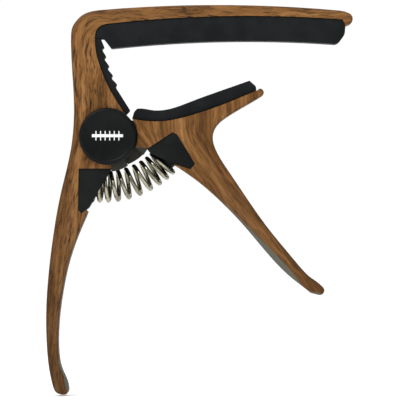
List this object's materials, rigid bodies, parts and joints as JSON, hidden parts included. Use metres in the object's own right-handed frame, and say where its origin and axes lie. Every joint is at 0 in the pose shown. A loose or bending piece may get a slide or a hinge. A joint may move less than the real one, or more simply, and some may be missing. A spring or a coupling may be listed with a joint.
{
  "type": "guitar capo",
  "caption": "Trigger capo for a guitar: a cast bar, spine and handle with a spring-closed jaw, soft pads on the strings and behind the neck.",
  "frame": {"origin": "crown of the string pad's pressing face, midway across its width", "axes": "+X along the bar to its tip, +Y along the guitar's neck and the pivot, +Z away from the strings"},
  "size_m": [0.0752, 0.0154, 0.0955],
  "materials": {
    "wood_film": "wood-grain transfer film under satin lacquer",
    "silicone": "matte black silicone",
    "seat_plastic": "moulded black nylon",
    "spring_steel": "nickel-plated spring wire",
    "cover_plastic": "satin black cover with white printed mark",
    "zinc_steel": "zinc-plated steel",
    "bush_brass": "turned brass",
    "washer_nylon": "natural nylon"
  },
  "bodies": {
    "frame": {"frame": "wood_film", "string_pad": "silicone", "spine_pad": "silicone", "frame_seat": "seat_plastic", "spring": "spring_steel", "front_cover": "cover_plastic", "back_cover": "cover_plastic", "pivot_screw": "zinc_steel", "pivot_nut": "zinc_steel", "thrust_washers": "washer_nylon"},
    "jaw": {"jaw": "wood_film", "jaw_pad": "silicone", "jaw_seat": "seat_plastic", "pivot_bush": "bush_brass"}
  },
  "joints": [
    {"name": "jaw_pivot", "type": "hinge", "parent": "frame", "child": "jaw", "pos_m": [-0.0344, 0, -0.0234], "axis": [0, 1, 0], "range_deg": [0, 28], "stiffness_Nm_per_rad": 0.57, "springref_deg": -34.95, "deforming": ["spring"]}
  ]
}
